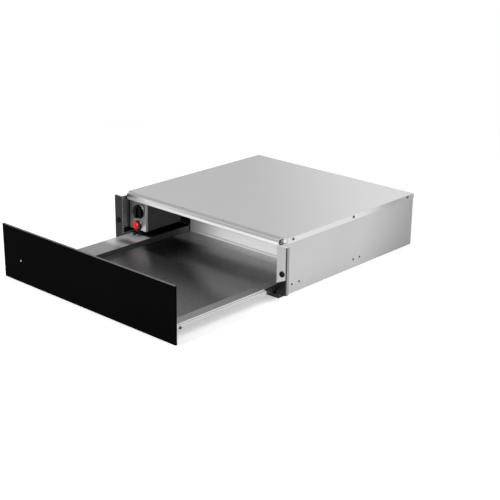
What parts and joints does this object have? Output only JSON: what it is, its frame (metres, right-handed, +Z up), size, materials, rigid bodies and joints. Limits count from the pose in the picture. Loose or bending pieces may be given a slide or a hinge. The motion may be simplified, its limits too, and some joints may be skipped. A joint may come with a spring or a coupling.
{
  "type": "built-in warming drawer",
  "caption": "Built-in warming drawer for a kitchen niche: steel housing with fan heater and controls, and a shallow steel tray behind a handleless black glass front, on ball slides.",
  "frame": {"origin": "centre of the housing's underside, its depth counted from the mounting flanges' front plane to the back of the cover", "axes": "+X to the right seen from the front, +Y to the back, the drawer opens along -Y, +Z up"},
  "size_m": [0.596, 0.9052, 0.141],
  "materials": {
    "housing_steel": "satin galvanised sheet",
    "tray_steel": "brushed stainless sheet",
    "carrier_steel": "plain sheet",
    "control_steel": "brushed stainless sheet",
    "box_steel": "dark coated sheet",
    "slide_steel": "zinc plated",
    "cage_steel": "yellow zinc plated",
    "ball_steel": "polished",
    "black_glass": "printed black behind, polished",
    "clear_lens": "clear",
    "foam_tape": "matte",
    "rubber_black": "matte",
    "knob_black": "semi gloss",
    "rocker_red": "translucent, lit",
    "plastic_black": "moulded",
    "thermostat_brown": "moulded",
    "shaft_steel": "turned",
    "probe_copper": "copper tube",
    "heater_steel": "heat stained",
    "fan_aluminium": "pressed",
    "scroll_steel": "galvanised",
    "motor_grey": "enamelled",
    "insulation_mat": "mineral fibre",
    "terminal_white": "moulded",
    "screw_steel": "zinc plated",
    "screw_black": "blackened"
  },
  "bodies": {
    "housing": {"base_pan": "housing_steel", "cable_gland": "plastic_black", "control_box": "box_steel", "control_panel": "control_steel", "corner_screws": "screw_steel", "cover_screws": "screw_steel", "duct_panel": "box_steel", "fan_motor": "motor_grey", "fan_scroll": "scroll_steel", "front_buffers": "rubber_black", "front_post_left": "housing_steel", "front_post_right": "housing_steel", "front_rail": "housing_steel", "gland_nut": "plastic_black", "heater_bracket": "carrier_steel", "heating_element": "heater_steel", "inner_ceiling": "housing_steel", "insulation_mat": "insulation_mat", "latch_body": "plastic_black", "rear_panel": "housing_steel", "side_panel_left": "housing_steel", "side_panel_right": "housing_steel", "slide_outer_left": "slide_steel", "slide_outer_right": "slide_steel", "slide_rivets": "screw_steel", "switch_housing": "plastic_black", "terminal_block": "terminal_white", "thermal_cutout": "thermostat_brown", "thermostat_body": "thermostat_brown", "thermostat_probe": "probe_copper", "top_cover": "housing_steel"},
    "drawer": {"tray": "tray_steel", "tray_back": "tray_steel", "tray_front": "tray_steel", "front_carrier": "carrier_steel", "carrier_screws": "screw_steel", "front_glass": "black_glass", "window_lens": "clear_lens", "glass_tape": "foam_tape", "drawer_screws": "screw_black", "slide_inner_left": "slide_steel", "slide_inner_right": "slide_steel", "lever_pin_left": "slide_steel", "lever_pin_right": "slide_steel", "latch_striker": "carrier_steel"},
    "cage_left": {"ball_cage_left": "cage_steel", "slide_balls_left": "ball_steel"},
    "cage_right": {"ball_cage_right": "cage_steel", "slide_balls_right": "ball_steel"},
    "knob": {"thermostat_knob": "knob_black", "thermostat_shaft": "shaft_steel"},
    "rocker": {"switch_rocker": "rocker_red"},
    "fan": {"fan_impeller": "fan_aluminium", "fan_shaft": "shaft_steel"},
    "latch": {"latch_plunger": "plastic_black"},
    "lever_left": {"release_lever_left": "slide_steel"},
    "lever_right": {"release_lever_right": "slide_steel"}
  },
  "joints": [
    {"name": "drawer_slide", "type": "slide", "parent": "housing", "child": "drawer", "axis": [0, -1, 0], "range_m": [-0.3488, 0]},
    {"name": "cage_slide_left", "type": "slide", "parent": "housing", "child": "cage_left", "axis": [0, -1, 0], "range_m": [-0.1744, 0]},
    {"name": "cage_slide_right", "type": "slide", "parent": "housing", "child": "cage_right", "axis": [0, -1, 0], "range_m": [-0.1744, 0]},
    {"name": "knob_turn", "type": "hinge", "parent": "housing", "child": "knob", "pos_m": [-0.226, -0.258, 0.09721], "axis": [0, 1, 0], "range_deg": [0, 270]},
    {"name": "rocker_tilt", "type": "hinge", "parent": "housing", "child": "rocker", "pos_m": [-0.2295, -0.253, 0.05864], "axis": [1, 0, 0], "range_deg": [0, 16]},
    {"name": "fan_spin", "type": "hinge", "parent": "housing", "child": "fan", "pos_m": [-0.2178, 0.13, 0.08605], "axis": [1, 0, 0], "continuous": true},
    {"name": "latch_push", "type": "slide", "parent": "housing", "child": "latch", "axis": [0, -1, 0], "range_m": [0, 0.012]},
    {"name": "lever_lift_left", "type": "hinge", "parent": "drawer", "child": "lever_left", "pos_m": [-0.2629, -0.406, 0.0225], "axis": [1, 0, 0], "range_deg": [0, 8]},
    {"name": "lever_lift_right", "type": "hinge", "parent": "drawer", "child": "lever_right", "pos_m": [0.2629, -0.406, 0.0225], "axis": [1, 0, 0], "range_deg": [0, 8]}
  ],
  "couplings": [
    {"joint": "cage_slide_left", "follows": "drawer_slide", "ratio": 0.5},
    {"joint": "cage_slide_right", "follows": "drawer_slide", "ratio": 0.5}
  ]
}
